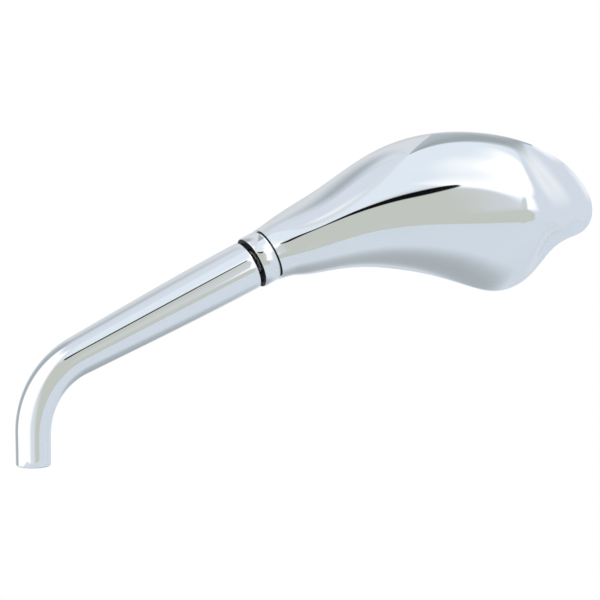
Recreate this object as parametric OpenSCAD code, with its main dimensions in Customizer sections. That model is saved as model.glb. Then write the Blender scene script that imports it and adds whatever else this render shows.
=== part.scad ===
/* [Stem] */
// Radius of the stem at its lower end
foot_r = 7.75; // [7:0.25:9]
// Radius of the stem where it meets the mirror head
stem_end_r = 11.25; // [10.5:0.25:11.5]
// Length of the straight upright stretch at the bottom
foot_h = 14.4; // [12:0.2:20]
// Bend radius of the stem's centre line
bend_r = 36; // [30:1:45]
// Length of the straight tapered arm above the bend
arm_len = 89.7; // [80:0.1:110]
// Rise of the arm above the horizontal, in degrees
arm_rise = 23.4; // [18:0.1:30]
// How far the arm sweeps back, in degrees
arm_sweep = 25.6; // [20:0.1:30]
// Width of the rounded edge at both ends of the stem
stem_edge = 0.8; // [0.4:0.1:1.2]

/* [Fixing thread] */
// Core radius of the fixing thread in the stem's foot
fix_core_r = 3.32; // [3:0.01:4]
// Usable depth of the fixing thread
fix_depth = 18; // [14:0.5:20]

/* [Ball joint] */
// Radius of the ball
ball_r = 6.5; // [6:0.1:6.6]
// Radius of the ball stud's neck and thread
stud_r = 3; // [2.5:0.1:3.2]
// Depth of the ball stud's thread in the stem
stud_depth = 14; // [10:0.5:18]
// Width of the open groove between the stem and the collar
groove = 2.1; // [2:0.05:2.5]
// Distance from the stem's end to the centre of the ball
ball_at = 9; // [8.8:0.1:9.4]
// Wall of the plastic shell around the ball
liner_wall = 0.65; // [0.5:0.05:0.7]
// Wire diameter of the pressure spring
spring_wire = 1.2; // [1:0.1:1.4]
// Length of the pressure spring
spring_len = 6; // [5.5:0.1:7]
// Turns of the pressure spring
spring_turns = 3.2; // [2.6:0.1:3.6]
// Thickness of the washer under the stud's flange
washer_t = 0.5; // [0.4:0.1:0.6]
// Radius of the stud's six-sided flange over its corners
flange_r = 5.6; // [5:0.1:5.6]
// Thickness of the stud's flange
flange_t = 1.3; // [1:0.1:1.4]
// Outer radius of the rubber dust seal
seal_r = 8.2; // [7.8:0.1:8.4]
// Thickness of the dust seal
seal_t = 1.5; // [1.3:0.1:1.6]
// Radius of the bore in the neck that holds the ball joint
bore_r = 7.6; // [7.5:0.05:7.8]
// Length of the plastic seat between the collar and the ball
seat_len = 3.2; // [3:0.1:3.4]
// Length of the pressure cup behind the ball
cup_len = 5.1; // [4.8:0.1:5.4]
// Thickness of the disc behind the spring
disc_t = 0.8; // [0.6:0.1:1]

/* [Collar] */
// Outer radius of the collar
collar_r = 12.1; // [12:0.05:12.5]
// Length of the collar
collar_len = 7.9; // [7.5:0.1:8.5]
// Thickness of the collar's end wall
collar_end = 2.7; // [2.5:0.1:3]
// Wall of the collar around the housing's spigot
collar_wall = 2.4; // [2.2:0.1:2.6]
// Bevel at the end of the collar beside the housing
collar_bevel = 1; // [0.6:0.1:1.2]
// Broken edge of the collar beside the groove
collar_edge = 0.4; // [0.2:0.1:0.6]
// Room around the ball's shell in the opening of the collar's end wall
hole_room = 0.2; // [0.15:0.05:0.4]
// Radius of the recess in the collar's end wall around the dust seal
recess_r = 9.6; // [9.5:0.1:10]
// Depth of that recess
recess_d = 1.2; // [1.1:0.1:1.4]
// Width of the dark seam between the collar and the housing
seam = 0.6; // [0.4:0.05:0.8]

/* [Housing] */
// Radius of the housing's neck at the seam
neck_r = 12.4; // [12.2:0.05:12.8]
// Length of the round part of the neck
neck_len = 7; // [6:0.5:8]
// How much the neck swells over that length
neck_swell = 0.25; // [0:0.05:0.4]
// How far the crown line has sunk below the neck's middle at its end
neck_dip = 1.8; // [1:0.1:2.4]
// Length of the mirror head from the ball to its outer tip
head_len = 160; // [150:1:170]
// Height of the mirror head across its rim
head_h = 74; // [70:1:80]
// Depth of the mirror head from its rim plane to its crown
head_d = 30; // [28:0.5:32]
// How far the rim plane lies behind the centre of the ball
rim_back = 13; // [12.5:0.1:14]
// How far the glass turns inward, in degrees
head_yaw = 15; // [12:0.5:18]
// Wall thickness of the cast housing
wall = 2.6; // [2.4:0.1:3]
// Height of the rim's edge
rim_edge = 2.2; // [1.8:0.1:2.6]
// Depth of the straight seat that holds the glass and its carrier
seat_d = 6.6; // [6.4:0.1:7]

/* [Glass and carrier] */
// Radius of the convex glass
glass_curve_r = 1200; // [1000:50:1400]
// Thickness of the glass
glass_t = 2; // [1.8:0.1:2.2]
// Thickness of the foam pad behind the glass
pad_t = 0.8; // [0.6:0.1:1]
// Thickness of the carrier plate
carrier_t = 1.6; // [1.4:0.1:1.8]
// How far the middle of the glass lies inside the rim
glass_low = 0.6; // [0.4:0.1:0.8]
// Thickness of the rubber strip around the glass
gasket_t = 1.2; // [1:0.1:1.4]
// Depth of the rubber strip
gasket_h = 5; // [4.6:0.1:5.2]
// Running clearance between pieces that are set in by hand
gap = 0.1; // [0.05:0.01:0.15]

/* [Carrier screws] */
// Radius of the screws' shanks
screw_r = 1.5; // [1.25:0.05:1.6]
// Radius of the screws' heads
screw_head_r = 2.8; // [2.5:0.1:3]
// Height of the screws' heads
screw_head_t = 1.3; // [1.1:0.1:1.3]
// Length of the screws under the head
screw_len = 8; // [7:0.5:9]
// Radius of the bosses that take the screws
boss_r = 3.3; // [3:0.1:3.6]
// Distance of the two middle screws from the line of the crown
screw_spread = 10; // [8:0.5:12]
// Distance of the outer screw past the last point of the crown
screw_outer = 8; // [6:0.5:10]

/* [Hidden] */
$fn = 96;
eps = 0.01;
// How far a cut or a joined solid runs past a face
over = 1;

// The stem's centre line: a foot, a bend in one upright plane, and a straight arm
bend_turn = 90 - arm_rise;
bend_len = bend_r * bend_turn * PI / 180;
stem_len = foot_h + bend_len + arm_len;
stem_sides = 40;

// Place along the centre line, as [distance out, height, angle from upright]
function arm_start() = [bend_r * (1 - cos(bend_turn)), foot_h + bend_r * sin(bend_turn)];
function stem_at(d) =
    d < foot_h ? [0, d, 0] :
    d < foot_h + bend_len ?
        let (turn = (d - foot_h) / bend_r * 180 / PI)
        [bend_r * (1 - cos(turn)), foot_h + bend_r * sin(turn), turn] :
    let (on = d - foot_h - bend_len)
    [arm_start()[0] + on * sin(bend_turn), arm_start()[1] + on * cos(bend_turn), bend_turn];

// The stem swells gently from its foot to the head
function ease(u) = u * u * (3 - 2 * u);
function stem_r_at(d) = foot_r + (stem_end_r - foot_r) * ease(d / stem_len);

// One ring of the stem around its centre line, pulled in by a rounded edge
function swing(out, side, z) = [
    out * cos(arm_sweep) - side * sin(arm_sweep),
    out * sin(arm_sweep) + side * cos(arm_sweep),
    z
];
function stem_ring(d, pull_in) =
    let (p = stem_at(d), r = stem_r_at(d) - pull_in)
    [for (k = [0:stem_sides - 1])
        let (w = 360 * k / stem_sides)
        swing(p[0] + r * cos(w) * cos(p[2]), r * sin(w), p[1] - r * cos(w) * sin(p[2]))];

edge_steps = 4;
bend_steps = 14;
arm_steps = 10;
stem_stops = concat(
    [for (k = [0:edge_steps]) let (w = 90 * k / edge_steps)
        [stem_edge * (1 - cos(w)), stem_edge * (1 - sin(w))]],
    [[foot_h / 2, 0]],
    [for (k = [0:bend_steps]) [foot_h + bend_len * k / bend_steps, 0]],
    [for (k = [1:arm_steps]) [foot_h + bend_len + (arm_len - stem_edge) * k / arm_steps, 0]],
    [for (k = [1:edge_steps]) let (w = 90 * k / edge_steps)
        [stem_len - stem_edge * (1 - sin(w)), stem_edge * (1 - cos(w))]]
);

// The neck's axis seen from the head: along the glass, up the glass, out of the dome
turn_in = arm_sweep - head_yaw;
neck_axis = [cos(arm_rise) * cos(turn_in), sin(arm_rise), -cos(arm_rise) * sin(turn_in)];
neck_front = let (f = [0, 0, 1] - neck_axis[2] * neck_axis) f / norm(f);
neck_up = cross(neck_front, neck_axis);
ball_in_head = [0, 0, rim_back];

// Stations along the neck's axis, counted from the stem's end face
collar_from = groove;
collar_to = collar_from + collar_len;
neck_from = collar_to + seam;
spigot_from = collar_from + collar_end;
spigot_r = collar_r - collar_wall;
ball_play = 0.05;
liner_r = ball_r + ball_play + liner_wall;
seat_r = liner_r + ball_play;
shell_low = ball_at - spigot_from;
stud_hole_r = sqrt(liner_r * liner_r - shell_low * shell_low) + hole_room;
seat_lip = 0.3;
cup_room = 0.8;
cup_from = ball_at + cup_room;
spring_from = cup_from + cup_len;
spring_room = 0.8;
disc_from = spring_from + spring_len;
disc_hole_r = 3;
bore_to = disc_from + disc_t;
// Openings of the ball's shell, toward the stud and toward the spring
liner_mouth_r = 4.2;
liner_vent_r = 2;

// Sections of the housing from the seam to the outer end. Each holds the crown, the rim
// above it and the rim below it, in the head's own axes with the rim plane at height 0.
// The guide points are written for a head of this length, height and depth.
drawn = [160, 74, 30];
kx = head_len / drawn[0];
ky = head_h / drawn[1];
kz = head_d / drawn[2];
// Pull that turns a curve into a quarter circle
round_pull = 0.552 * neck_r;
function fit(p) = [p[0] * kx, p[1] * ky, p[2] * kz];
function rim_at(x, y, z = 0) = [x * kx, y * ky, rim_edge + z * kz];
function neck_section(d, r, dip) =
    let (c = ball_in_head + d * neck_axis)
    [c + r * neck_front - dip * neck_up, c + r * neck_up, c - r * neck_up];
sections = [
    neck_section(neck_from - ball_at, neck_r, 0),
    neck_section(neck_from - ball_at + neck_len, neck_r + neck_swell, neck_dip),
    [fit([21, 5.6, 25.2]), rim_at(14, 20.4, 5.6), rim_at(20.5, -11.6, 5.2)],
    [fit([32, 9.1, 26]), rim_at(27, 27.2, 1), rim_at(33, -9.2, 1)],
    [fit([45, 13.2, 27]), rim_at(41, 37, 0), rim_at(46, -8, 0)],
    [fit([60, 15.8, 28.2]), rim_at(56.5, 46.4, 0), rim_at(61, -8.8, 0)],
    [fit([75, 16.8, 29.4]), rim_at(74, 51.8, 0), rim_at(77, -11.4, 0)],
    [fit([90, 17, 30]), rim_at(91, 53.4, 0), rim_at(92, -15.6, 0)],
    [fit([104, 17, 30]), rim_at(107, 52.4, 0), rim_at(104.5, -20.3, 0)],
    [fit([117, 16.5, 29.2]), rim_at(121.5, 49.6, 0), rim_at(115, -22.2, 0)]
];
// Rim beyond the last section, from the top round the outer tip to the bottom
tip_rim = [
    rim_at(134, 45), rim_at(145.5, 38.3), rim_at(154.5, 29.8), rim_at(160.2, 20),
    rim_at(160.6, 10.5), rim_at(155.5, 4.2), rim_at(148.5, 2.6), rim_at(141, -1.6),
    rim_at(134.6, -9.6), rim_at(127, -18)
];
// Shape of the wall along the same run: wall angle at the rim, pull of the rim's slope,
// radius over the crown, and distance from the rim to the glass seat
neck_shape = [90, round_pull, neck_r, 4];
function sized(rows) = [for (p = rows) [p[0], p[1] * ky, p[2] * ky, p[3] * ky]];
top_shape = concat([neck_shape, neck_shape], sized([
    [90, 9, 12.5, 4], [90, 12, 18.5, 4.2], [90, 13.5, 18.5, 4.2], [90, 14.5, 14.5, 4.2],
    [90, 15, 11.5, 4.2], [88, 15, 12, 4.2], [84, 15, 20, 4.4], [68, 15, 32, 6]
]));
tip_shape = sized([
    [40, 17, 38, 10], [20, 19, 37, 16], [13, 20, 36, 20.5], [13, 20, 36, 22.5],
    [14, 19, 36, 22.5], [15, 16, 36, 19], [18, 15, 36, 14.5], [26, 14, 36, 11.5],
    [42, 13, 37, 9], [56, 13, 38, 7.4]
]);
bottom_shape = concat([neck_shape, neck_shape], sized([
    [88, 8.5, 14, 4], [85, 10.5, 18, 4.2], [82, 12, 22, 4.4], [79, 12.5, 25, 4.6],
    [76, 13, 29, 4.8], [72, 13, 33, 5.2], [67, 13, 37, 5.8], [62, 13, 38, 6.6]
]));
last = len(sections) - 1;
function back(list) = [for (k = [len(list) - 1:-1:0]) list[k]];
crown_guide = [for (s = sections) s[0]];
rim_guide = concat([for (s = sections) s[1]], tip_rim, [for (s = back(sections)) s[2]]);
shape_guide = concat(top_shape, tip_shape, back(bottom_shape));

// A smooth curve that follows a list of guide points
function guide(list, k) =
    k < 0 ? 2 * list[0] - list[1] :
    k >= len(list) ? 2 * list[len(list) - 1] - list[len(list) - 2] : list[k];
function smooth(list, at) =
    let (k = min(floor(at + 1e-9), len(list) - 2), t = at - k, s = 1 - t)
    (s * s * s * guide(list, k - 1) + (3 * t * t * t - 6 * t * t + 4) * guide(list, k)
        + (3 * s * s * s - 6 * s * s + 4) * guide(list, k + 1) + t * t * t * guide(list, k + 2)) / 6;

// The housing's skin is a fan of ribs, each from the rim up to the crown. The ribs turn
// from the neck's own front to the glass's front over the first sections.
turn_sections = 3;
// Share of the wall's width that the rounding of the crown takes at most
crown_most = 0.8;
per_section = 3;
per_tip = 3;
rib_steps = 9;
spans = last * per_section;
fans = (len(tip_rim) + 1) * per_tip;
ribs = 2 * spans + fans;
function rib_place(j) =
    j <= spans ? j / per_section :
    j < spans + fans ? last + (j - spans) / per_tip :
    last + len(tip_rim) + 1 + (j - spans - fans) / per_section;
function crown_index(j) = j <= spans ? j : j < spans + fans ? spans : ribs - j;
function crown_of(i) = smooth(crown_guide, i / per_section);
function rim_of(j) = smooth(rim_guide, rib_place(j));
function shape_of(j) = smooth(shape_guide, rib_place(j));
function front_of(i) =
    let (u = min(1, max(0, i / per_section / turn_sections)), f = neck_front * (1 - ease(u)) + [0, 0, ease(u)])
    f / norm(f);
function bezier(p, t) = let (s = 1 - t)
    s * s * s * p[0] + 3 * s * s * t * p[1] + 3 * s * t * t * p[2] + t * t * t * p[3];
function rib_curve(from, crown, front, lean, pull, crown_r) =
    let (
        rise = (crown - from) * front,
        across = crown - from - rise * front,
        inward = across / norm(across),
        first = from + pull * (cos(lean) * inward + sin(lean) * front),
        reach = sqrt(max(0.1, (rise - pull * sin(lean)) * crown_r * 2 / 3))
    )
    [from, first, crown - min(reach, crown_most * norm(across)) * inward, crown];
function outer_rib(j) =
    let (i = crown_index(j), s = shape_of(j))
    rib_curve(rim_of(j), crown_of(i), front_of(i), s[0], s[1], s[2]);

// Behind the neck the skin closes into a round tube, which flattens into the rim plane
flat_from = turn_sections * per_section;
back_steps = 11;
function back_point(j, k) =
    let (
        top = rim_of(j), low = rim_of(ribs - j), mid = (top + low) / 2, half = (top - low) / 2,
        w = 180 * k / (back_steps + 1),
        q = ease(j / flat_from),
        round_depth = norm(half) * (1 - q) + mid[2] * q,
        round_at = mid + half * cos(w) - round_depth * sin(w) * front_of(j),
        side = 1 - 2 * (k - 1) / (back_steps - 1),
        flat_at = mid + half * side - [0, 0, mid[2] + half[2] * side]
    )
    round_at * (1 - q) + flat_at * q;

// The edge of the glass seat, set in from the rim, with a rounded inner end
seat_section = 4;
end_pull = 0.38;
seat_first = seat_section * per_section;
seat_last = ribs - seat_first;
end_steps = 9;
function flat(p, z) = [p[0], p[1], z];
function toward(from, to) = unit(flat(to - from, 0));
function seat_edge(j) =
    let (r = rim_of(j), c = crown_of(crown_index(j)))
    flat(r + shape_of(j)[3] * toward(r, c), 0);
function unit(v) = v / norm(v);
function seat_end(k) =
    let (
        a = seat_edge(seat_last), b = seat_edge(seat_first), pull = end_pull * norm(b - a),
        on = a + pull * unit(a - seat_edge(seat_last - 1)),
        off = b + pull * unit(b - seat_edge(seat_first + 1))
    )
    bezier([a, on, off, b], k / (end_steps + 1));
seat_loop = concat(
    [for (j = [seat_first:seat_last]) seat_edge(j)],
    [for (k = [1:end_steps]) seat_end(k)]
);
seat_count = len(seat_loop);
seat_ribs = seat_last - seat_first + 1;
function seat_crown(l) = l < seat_ribs ? crown_index(seat_first + l) : seat_first;
// The inner skin starts steeper and turns tighter than the outer one
hollow_lean = 80;
hollow_pull = 0.35;
hollow_crown = 0.7;
function inner_rib(l) =
    let (
        i = seat_crown(l),
        shape = shape_of(l < seat_ribs ? seat_first + l : seat_first),
        from = flat(seat_loop[l], seat_d),
        to = crown_of(i) - [0, 0, wall],
        rise = to[2] - from[2]
    )
    rib_curve(from, to, [0, 0, 1], hollow_lean, hollow_pull * rise, hollow_crown * shape[2]);

// An outline that lies a set distance inside the glass seat
function turn_of(loop, l) =
    let (n = len(loop), d = loop[(l + 1) % n] - loop[(l + n - 1) % n]) [d[1], -d[0]] / norm(d);
function inset(loop, by) = [for (l = [0:len(loop) - 1])
    [loop[l][0], loop[l][1]] + by * turn_of(loop, l)];

// The glass, its pad and its carrier share one gentle curve round the middle of the seat
mid_share = 0.72;
glass_mid = let (c = crown_of(round(spans * mid_share))) [c[0], c[1]];
glass_in = gasket_t + 2 * gap;
pad_inset = 1;
pad_from = glass_low + glass_t + gap / 2;
carrier_from = pad_from + pad_t + gap / 2;
carrier_to = carrier_from + carrier_t;
function bulge(t) = glass_curve_r - sqrt(glass_curve_r * glass_curve_r - t * t);

// Places of the four carrier screws, one toward the neck and three round the bowl:
// share of the way along the crown, offset along it and offset up
screw_plan = [[0.53, 0, 0], [0.83, 0, screw_spread], [0.83, 0, -screw_spread], [1, screw_outer, 0]];
function screw_crown(n) = crown_of(round(spans * screw_plan[n][0]));
function screw_spot(n) = [screw_crown(n)[0] + screw_plan[n][1], screw_crown(n)[1] + screw_plan[n][2]];
function screw_out(n) = norm(screw_spot(n) - glass_mid);
function screw_from(n) = carrier_from + bulge(screw_out(n)) + gap;
screw_tip_room = 0.5;
// A boss ends inside the wall, which falls away from the crown with this radius
crown_fall_r = top_shape[last][2];
boss_sink = 1;
function boss_top(n) =
    let (out = norm([screw_plan[n][1], screw_plan[n][2]]) + boss_r)
    screw_crown(n)[2] - out * out / (2 * crown_fall_r) - boss_sink;

module stem() color("gainsboro") difference() {
    rings = len(stem_stops);
    polyhedron(
        points = [for (s = stem_stops) each stem_ring(s[0], s[1])],
        faces = concat(
            [[for (k = [0:stem_sides - 1]) k]],
            [for (a = [0:rings - 2], k = [0:stem_sides - 1]) let (
                p = a * stem_sides + k, q = a * stem_sides + (k + 1) % stem_sides)
                each [[p, p + stem_sides, q], [q, p + stem_sides, q + stem_sides]]],
            [[for (k = [stem_sides - 1:-1:0]) (rings - 1) * stem_sides + k]]
        )
    );
    translate([0, 0, -over]) cylinder(r = fix_core_r, h = fix_depth + over);
    on_neck(-stud_depth - over) cylinder(r = stud_r + gap / 2, h = stud_depth + 2 * over);
}

// Places a piece on the neck's axis, at a distance from the stem's end face
module on_neck(d) {
    end = stem_at(stem_len);
    translate(swing(end[0], 0, end[1]))
        rotate([0, 90 - arm_rise, arm_sweep])
            translate([0, 0, d]) children();
}

// Places a piece in the head's own axes, with the rim plane at height 0
module on_head() {
    on_neck(ball_at) rotate([0, arm_rise - 90, 0]) rotate([0, 0, -arm_sweep])
        rotate([90, 0, head_yaw]) translate([0, 0, -rim_back]) children();
}

module ring(outer, inner, h) difference() {
    cylinder(r = outer, h = h);
    translate([0, 0, -over]) cylinder(r = inner, h = h + 2 * over);
}

module ball_stud() color("silver") {
    on_neck(0) union() {
        translate([0, 0, ball_at]) sphere(r = ball_r);
        translate([0, 0, -stud_depth]) cylinder(r = stud_r, h = stud_depth + ball_at);
        translate([0, 0, washer_t]) cylinder(r = flange_r, h = flange_t, $fn = 6);
    }
}

module stud_washer() color("silver") on_neck(0) ring(flange_r, stud_r + gap, washer_t);

module dust_seal() color("dimgray") on_neck(gap) ring(seal_r, flange_r + 2 * gap, seal_t);

module collar() color("gainsboro") on_neck(0) difference() {
    rotate_extrude() polygon([
        [0, collar_from], [collar_r - collar_edge, collar_from],
        [collar_r, collar_from + collar_edge], [collar_r, collar_to - collar_bevel],
        [collar_r - 0.6 * collar_bevel, collar_to], [0, collar_to]
    ]);
    translate([0, 0, collar_from - over]) cylinder(r = recess_r, h = recess_d + over);
    translate([0, 0, collar_from]) cylinder(r = stud_hole_r, h = collar_len);
    translate([0, 0, spigot_from - gap]) cylinder(r = spigot_r + gap / 2, h = collar_len);
}

// The dark ring shows a little inside the collar's face
seam_inset = 0.9;
module seam_ring() color("dimgray") on_neck(collar_to + gap / 2)
    ring(collar_r - seam_inset, spigot_r + gap, seam - gap);

// A seat ring with a round hollow that bears on the ball's shell
module front_seat() color("white") on_neck(0) difference() {
    translate([0, 0, spigot_from]) cylinder(r = bore_r - gap / 2, h = seat_len);
    translate([0, 0, ball_at]) sphere(r = seat_r);
    cylinder(r = stud_hole_r - seat_lip, h = ball_at);
}

// The split plastic shell that wraps the ball
module ball_liner() color("white") on_neck(ball_at) difference() {
    sphere(r = liner_r);
    sphere(r = ball_r + ball_play);
    translate([0, 0, -2 * ball_r]) cylinder(r = liner_mouth_r, h = 2 * ball_r);
    cylinder(r = liner_vent_r, h = 2 * ball_r);
}

module pressure_cup() color("goldenrod") on_neck(0) difference() {
    translate([0, 0, cup_from]) cylinder(r = bore_r - gap / 2, h = cup_len);
    translate([0, 0, ball_at]) sphere(r = seat_r);
}

// A round wire wound in a helix
module pressure_spring() color("silver") on_neck(spring_from + gap / 2) {
    wire = spring_wire / 2;
    coil_r = bore_r - wire - spring_room;
    stops = 52;
    sides = 8;
    lift = spring_len - spring_wire - gap;
    polyhedron(
        points = [for (a = [0:stops], k = [0:sides - 1]) let (
            w = 360 * spring_turns * a / stops, v = 360 * k / sides, r = coil_r + wire * cos(v))
            [r * cos(w), r * sin(w), wire + lift * a / stops + wire * sin(v)]],
        faces = concat(
            [[for (k = [0:sides - 1]) k]],
            [for (a = [0:stops - 1], k = [0:sides - 1]) let (
                p = a * sides + k, q = a * sides + (k + 1) % sides)
                each [[p, p + sides, q], [q, p + sides, q + sides]]],
            [[for (k = [sides - 1:-1:0]) stops * sides + k]]
        )
    );
}

module spring_disc() color("silver") on_neck(disc_from)
    ring(bore_r - gap / 2, disc_hole_r, disc_t - gap / 2);

// The bowl: an outer skin, an inner skin and the flat rim between them
module bowl() {
    outer = [for (j = [0:ribs]) outer_rib(j)];
    inner = [for (l = [0:seat_count - 1]) inner_rib(l)];
    n = rib_steps;
    skin_pts = [for (j = [0:ribs], s = [0:n - 1]) bezier(outer[j], s / n)];
    crown_pts = [for (i = [0:spans]) crown_of(i)];
    back_pts = [for (j = [0:flat_from], k = [1:back_steps]) back_point(j, k)];
    edge_js = [for (j = [flat_from + 1:ribs - flat_from - 1]) j];
    edge_pts = [for (j = edge_js) flat(rim_of(j), 0)];
    loop_pts = seat_loop;
    hollow_pts = [for (l = [0:seat_count - 1], s = [0:n - 1]) bezier(inner[l], s / n)];
    peak_pts = [for (i = [seat_first:spans]) crown_of(i) - [0, 0, wall]];

    crown_0 = len(skin_pts);
    back_0 = crown_0 + len(crown_pts);
    edge_0 = back_0 + len(back_pts);
    loop_0 = edge_0 + len(edge_pts);
    hollow_0 = loop_0 + len(loop_pts);
    peak_0 = hollow_0 + len(hollow_pts);

    function skin(j, s) = s < n ? j * n + s : crown_0 + crown_index(j);
    function rear(j, k) = back_0 + j * back_steps + k - 1;
    function hollow(l, s) =
        s < n ? hollow_0 + (l % seat_count) * n + s : peak_0 + seat_crown(l % seat_count) - seat_first;
    function edge(j) =
        j == flat_from ? rear(flat_from, 1) :
        j == ribs - flat_from ? rear(flat_from, back_steps) : edge_0 + j - flat_from - 1;
    // Flat lip: the outer loop runs round the rim and closes behind the neck
    lip_out = concat([for (j = [flat_from:ribs - flat_from]) edge(j)],
        [for (k = [back_steps - 1:-1:2]) rear(flat_from, k)]);
    lip_in_at = concat(
        [for (j = [flat_from:ribs - flat_from])
            j < seat_first ? 0 : j > seat_last ? seat_ribs - 1 : j - seat_first],
        [for (k = [back_steps - 1:-1:2]) seat_ribs + back_steps - 1 - k]);

    function four(a, b, c, d) = a == b ? [[a, d, c]] : c == d ? [[a, c, b]] : [[a, c, b], [a, d, c]];
    faces = concat(
        [for (j = [0:ribs - 1], s = [0:n - 1])
            each four(skin(j, s), skin(j, s + 1), skin(j + 1, s + 1), skin(j + 1, s))],
        [concat([for (s = [0:n]) skin(0, s)], [for (s = [n - 1:-1:0]) skin(ribs, s)],
            [for (k = [back_steps:-1:1]) rear(0, k)])],
        [for (j = [0:flat_from - 1], k = [0:back_steps]) let (
            a = k == 0 ? skin(j, 0) : rear(j, k),
            b = k == back_steps ? skin(ribs - j, 0) : rear(j, k + 1),
            c = k == back_steps ? skin(ribs - j - 1, 0) : rear(j + 1, k + 1),
            d = k == 0 ? skin(j + 1, 0) : rear(j + 1, k))
            each four(d, c, b, a)],
        [for (j = [flat_from:ribs - flat_from - 1])
            each four(skin(j, 0), skin(j + 1, 0), edge(j + 1), edge(j))],
        [for (m = [0:len(lip_out) - 1]) let (o = (m + 1) % len(lip_out),
            a = lip_out[m], b = lip_out[o], c = lip_in_at[o] + loop_0, d = lip_in_at[m] + loop_0)
            each four(a, b, c, d)],
        [for (l = [0:seat_count - 1]) let (o = (l + 1) % seat_count)
            each four(loop_0 + l, loop_0 + o, hollow(o, 0), hollow(l, 0))],
        [for (l = [0:seat_count - 1], s = [0:n - 1])
            each four(hollow(l, s), hollow(l + 1, s), hollow(l + 1, s + 1), hollow(l, s + 1))]
    );
    polyhedron(
        points = concat(skin_pts, crown_pts, back_pts, edge_pts, loop_pts, hollow_pts, peak_pts),
        faces = faces
    );
}

module at_screw(n, z) translate([screw_spot(n)[0], screw_spot(n)[1], z]) children();

module housing() color("gainsboro") difference() {
    union() {
        on_head() bowl();
        on_neck(spigot_from) cylinder(r = spigot_r, h = neck_from - spigot_from + over);
        on_head() for (n = [0:3]) let (from = carrier_to + bulge(screw_out(n) + boss_r) + gap / 2)
            at_screw(n, from) cylinder(r = boss_r, h = boss_top(n) - from);
    }
    on_neck(spigot_from - over) cylinder(r = bore_r, h = bore_to - spigot_from + over);
    on_head() for (n = [0:3]) let (to = screw_from(n) + screw_head_t + screw_len + screw_tip_room)
        at_screw(n, carrier_to) cylinder(r = screw_r + gap / 4, h = to - carrier_to);
}

// A sheet bent to the glass's curve, cut to an outline inside the seat
sheet_low = 5;
sheet_fn = 1440;
module curved_sheet(from, t, by) intersection() {
    translate([0, 0, -sheet_low]) linear_extrude(height = 4 * sheet_low) polygon(inset(seat_loop, by));
    translate([glass_mid[0], glass_mid[1], 0]) rotate_extrude() intersection() {
        translate([0, from + glass_curve_r]) difference() {
            circle(r = glass_curve_r, $fn = sheet_fn);
            circle(r = glass_curve_r - t, $fn = sheet_fn);
        }
        translate([0, -sheet_low]) square([head_len, 4 * sheet_low]);
    }
}

module mirror_glass() color("lightblue") on_head() curved_sheet(glass_low, glass_t, glass_in);

module foam_pad() color("dimgray") on_head() curved_sheet(pad_from, pad_t, glass_in + pad_inset);

module carrier_plate() color("dimgray") on_head() difference() {
    curved_sheet(carrier_from, carrier_t, glass_in);
    for (n = [0:3]) {
        at_screw(n, 0) cylinder(r = screw_r + gap, h = carrier_to + over + bulge(screw_out(n)));
        at_screw(n, 0) cylinder(r = screw_head_r + gap, h = screw_from(n));
        at_screw(n, screw_from(n) - eps)
            cylinder(r1 = screw_head_r + gap, r2 = screw_r + gap, h = screw_head_t);
    }
}

module rim_gasket() color("dimgray") on_head() translate([0, 0, gap]) linear_extrude(height = gasket_h)
    difference() {
        polygon(inset(seat_loop, gap));
        polygon(inset(seat_loop, gap + gasket_t));
    }

// Countersunk screw, driven from the glass side through the carrier into its boss
module screw(n) color("silver") on_head() at_screw(n, screw_from(n)) union() {
    cylinder(r1 = screw_head_r, r2 = screw_r, h = screw_head_t);
    cylinder(r = screw_r, h = screw_head_t + screw_len);
}

stem();
ball_stud();
stud_washer();
dust_seal();
collar();
seam_ring();
front_seat();
ball_liner();
pressure_cup();
pressure_spring();
spring_disc();
housing();
rim_gasket();
mirror_glass();
foam_pad();
carrier_plate();
screw(0);  // screw_1
screw(1);  // screw_2
screw(2);  // screw_3
screw(3);  // screw_4
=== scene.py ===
"""Looks of a chromed teardrop motorcycle mirror: stem, ball joint, collar, cast bowl and convex glass."""
import math

import bpy
from mathutils import Matrix, Vector


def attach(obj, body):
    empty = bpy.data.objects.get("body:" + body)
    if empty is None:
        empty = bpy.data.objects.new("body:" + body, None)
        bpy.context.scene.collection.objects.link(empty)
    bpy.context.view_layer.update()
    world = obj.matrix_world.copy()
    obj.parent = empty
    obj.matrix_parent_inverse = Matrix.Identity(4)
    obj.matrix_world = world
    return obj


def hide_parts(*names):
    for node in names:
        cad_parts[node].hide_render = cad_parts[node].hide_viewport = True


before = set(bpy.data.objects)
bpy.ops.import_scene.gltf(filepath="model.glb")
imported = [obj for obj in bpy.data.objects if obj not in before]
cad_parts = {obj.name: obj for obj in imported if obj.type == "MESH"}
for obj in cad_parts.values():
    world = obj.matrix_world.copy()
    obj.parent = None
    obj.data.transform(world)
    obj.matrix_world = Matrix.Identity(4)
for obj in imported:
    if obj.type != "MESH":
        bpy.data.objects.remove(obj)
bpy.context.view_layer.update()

MM = 0.001

# Sizes of the stem, in millimetres, as in the CAD source
FOOT_R = 7.75
STEM_END_R = 11.25
FOOT_H = 14.4
BEND_R = 36.0
ARM_LEN = 89.7
ARM_RISE = 23.4
ARM_SWEEP = 25.6
STEM_EDGE = 0.8
THREAD_OUTER_R = 4.0
THREAD_PITCH = 1.25
THREAD_DEPTH = 18.0
THREAD_MOUTH = 0.5
DRILL_TIP = 1.6
STUD_THREAD_R = 3.05
STUD_MOUTH_R = 3.6
STUD_MOUTH = 0.5
STUD_THREAD_DEPTH = 14.0

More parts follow.
